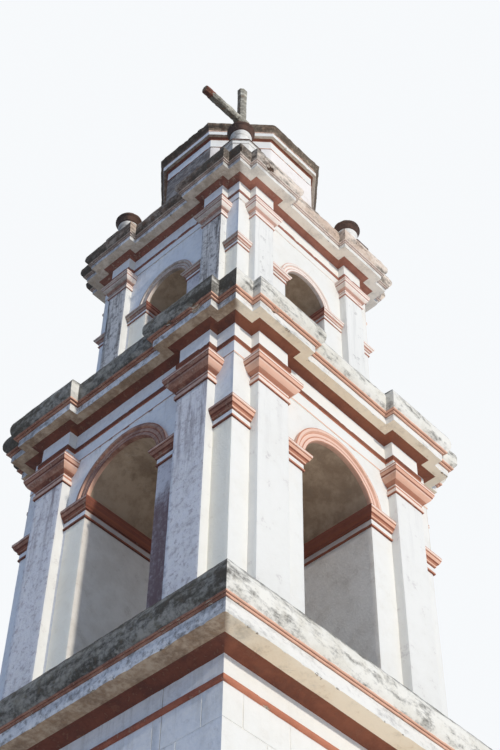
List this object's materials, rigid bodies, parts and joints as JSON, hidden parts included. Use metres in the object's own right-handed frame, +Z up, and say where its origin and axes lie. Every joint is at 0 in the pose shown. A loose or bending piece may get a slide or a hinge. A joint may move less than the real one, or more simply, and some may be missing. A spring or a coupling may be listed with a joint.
{
  "type": "bell tower",
  "caption": "Square rendered masonry bell tower with open arched belfry storeys, moulded cornices, corner finials and a domed octagonal drum that carries a cross.",
  "frame": {"origin": "middle of the foot of the shaft, at ground level", "axes": "+Z up, the front faces -Y, and the arms of the cross lie along X"},
  "size_m": [5.2908, 5.2908, 27.79],
  "materials": {
    "wall_render": "matt limewashed render over brick, streaked with dirt",
    "moulded_render": "matt painted render mouldings, terracotta and cream, weathered",
    "terracotta_trim": "matt terracotta painted render",
    "rose_trim": "matt rose painted render",
    "capital_render": "matt painted render, cream with terracotta bands",
    "finial_render": "matt limewashed render with a dark weathered cap",
    "floor_screed": "matt lime screed",
    "dome_render": "matt weathered lime render",
    "cross_stone": "matt stone, pitted and stained"
  },
  "bodies": {
    "root": {"base_cornice_back": "moulded_render", "base_cornice_front": "moulded_render", "base_cornice_left": "moulded_render", "base_cornice_right": "moulded_render", "cross": "cross_stone", "dome": "dome_render", "drum_cornice": "moulded_render", "drum_floor": "floor_screed", "drum_wall": "wall_render", "finial_plinths": "capital_render", "finial_urns": "finial_render", "lower_arch_back": "wall_render", "lower_arch_front": "wall_render", "lower_arch_left": "wall_render", "lower_arch_right": "wall_render", "lower_archivolts": "terracotta_trim", "lower_belfry_floor": "floor_screed", "lower_capitals": "capital_render", "lower_entablature_back": "moulded_render", "lower_entablature_front": "moulded_render", "lower_entablature_left": "moulded_render", "lower_entablature_right": "moulded_render", "lower_imposts": "terracotta_trim", "lower_piers": "wall_render", "lower_pilasters": "wall_render", "shaft_floor": "floor_screed", "shaft_string_course": "terracotta_trim", "shaft_wall_back": "wall_render", "shaft_wall_front": "wall_render", "shaft_wall_left": "wall_render", "shaft_wall_right": "wall_render", "upper_arch_back": "wall_render", "upper_arch_front": "wall_render", "upper_arch_left": "wall_render", "upper_arch_right": "wall_render", "upper_archivolts": "rose_trim", "upper_belfry_floor": "floor_screed", "upper_capitals": "capital_render", "upper_entablature_back": "moulded_render", "upper_entablature_front": "moulded_render", "upper_entablature_left": "moulded_render", "upper_entablature_right": "moulded_render", "upper_imposts": "rose_trim", "upper_piers": "wall_render", "upper_pilasters": "wall_render"}
  },
  "joints": []
}
